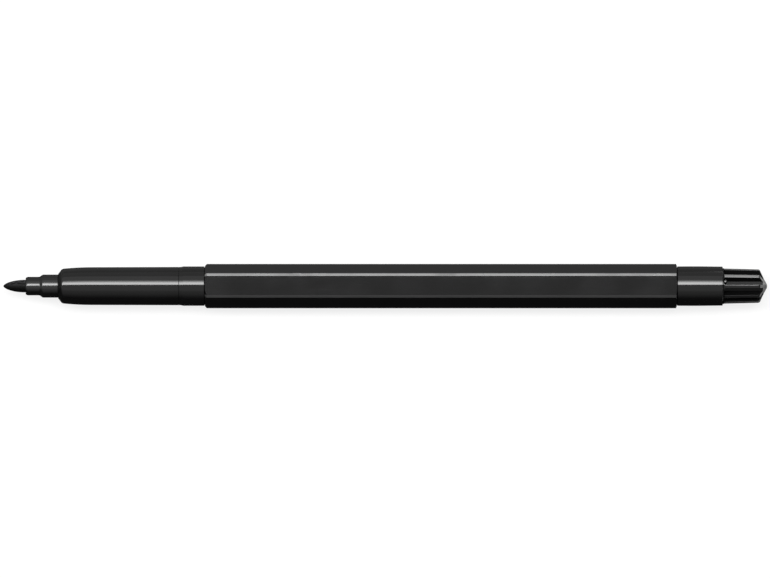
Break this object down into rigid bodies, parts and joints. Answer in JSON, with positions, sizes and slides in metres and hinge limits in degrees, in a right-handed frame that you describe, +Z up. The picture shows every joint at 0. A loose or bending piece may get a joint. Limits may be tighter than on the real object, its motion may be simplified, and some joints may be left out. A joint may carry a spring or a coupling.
{
  "type": "felt-tip pen",
  "caption": "Uncapped felt-tip pen: bullet nib in a stepped holder, round front section, hexagonal barrel, rear collar and fluted end plug that a cap posts on.",
  "frame": {"origin": "middle of the pen's length and width, on the surface that its barrel lies on", "axes": "+X along the pen's axis from the nib to the end plug, +Z up, square to the barrel flat that the pen lies on, +Y across the pen over two barrel corners"},
  "size_m": [0.15, 0.0088, 0.0078],
  "materials": {
    "nib_felt": "ink-soaked pressed felt, matt",
    "holder_plastic": "moulded black plastic, satin",
    "barrel_plastic": "moulded black plastic, satin gloss",
    "plug_plastic": "moulded black plastic, satin",
    "reservoir_fibre": "bundled polyester fibre soaked with black ink",
    "reservoir_film": "thin clear film, glossy"
  },
  "bodies": {
    "pen": {"nib_holder": "holder_plastic", "front_section": "barrel_plastic", "cap_seat_ring": "barrel_plastic", "hex_barrel": "barrel_plastic", "reservoir_core": "reservoir_fibre", "reservoir_film": "reservoir_film"},
    "nib": {"nib": "nib_felt"},
    "end_plug": {"end_plug": "plug_plastic", "rear_collar": "barrel_plastic"}
  },
  "joints": [
    {"name": "nib_pull", "type": "slide", "parent": "pen", "child": "nib", "axis": [-1, 0, 0], "range_m": [0, 0.0235]},
    {"name": "end_plug_pull", "type": "slide", "parent": "pen", "child": "end_plug", "axis": [1, 0, 0], "range_m": [0, 0.021]}
  ]
}
